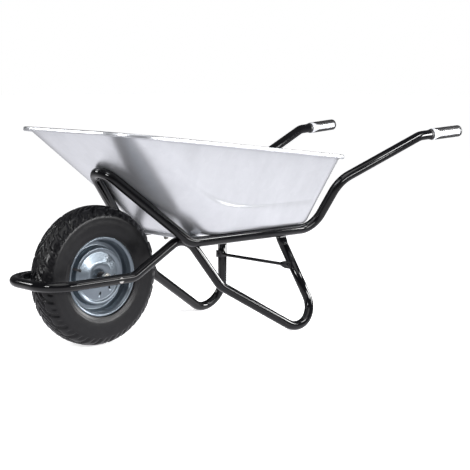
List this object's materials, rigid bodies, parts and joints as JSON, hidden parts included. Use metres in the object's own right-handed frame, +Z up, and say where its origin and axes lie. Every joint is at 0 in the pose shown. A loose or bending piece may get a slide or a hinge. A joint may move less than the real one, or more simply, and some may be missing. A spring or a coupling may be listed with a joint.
{
  "type": "wheelbarrow",
  "caption": "Builder's wheelbarrow with a bent tube frame, pressed steel tray, soft grips and a single pneumatic wheel that turns on a fixed axle.",
  "frame": {"origin": "on the ground, in the middle of the barrow's length and width", "axes": "+X forward to the wheel end, +Y to the user's left, +Z up; ground is Z = 0"},
  "size_m": [1.5092, 0.623, 0.6179],
  "materials": {
    "black_paint": "gloss",
    "galvanised": "satin",
    "zinc": "satin",
    "rim_paint": "gloss",
    "tyre": "matte",
    "tube_rubber": "matte",
    "black_plastic": "satin",
    "grey_plastic": "satin",
    "soft_black": "matte"
  },
  "bodies": {
    "frame": {"handle_frame": "black_paint", "undercarriage": "black_paint", "tray": "galvanised", "front_crossbar": "galvanised", "rear_crossbar": "galvanised", "tray_bolts": "zinc", "tray_washers": "zinc", "tray_nuts": "zinc", "leg_brace": "black_paint", "brace_bolts": "black_paint", "axle": "zinc", "axle_spacers": "black_plastic", "axle_nuts": "zinc", "grip_core_left": "grey_plastic", "grip_core_right": "grey_plastic", "grip_pads_left": "soft_black", "grip_pads_right": "soft_black", "grip_cuff_left": "soft_black", "grip_cuff_right": "soft_black"},
    "wheel": {"tyre": "tyre", "inner_tube": "tube_rubber", "rim_half_left": "rim_paint", "rim_half_right": "rim_paint", "hub_tube": "rim_paint", "hub_bushes": "black_plastic", "valve_stem": "soft_black", "valve_cap": "black_plastic"}
  },
  "joints": [
    {"name": "wheel_spin", "type": "hinge", "parent": "frame", "child": "wheel", "pos_m": [0.5105, 0, 0.2], "axis": [0, 1, 0], "continuous": true}
  ]
}
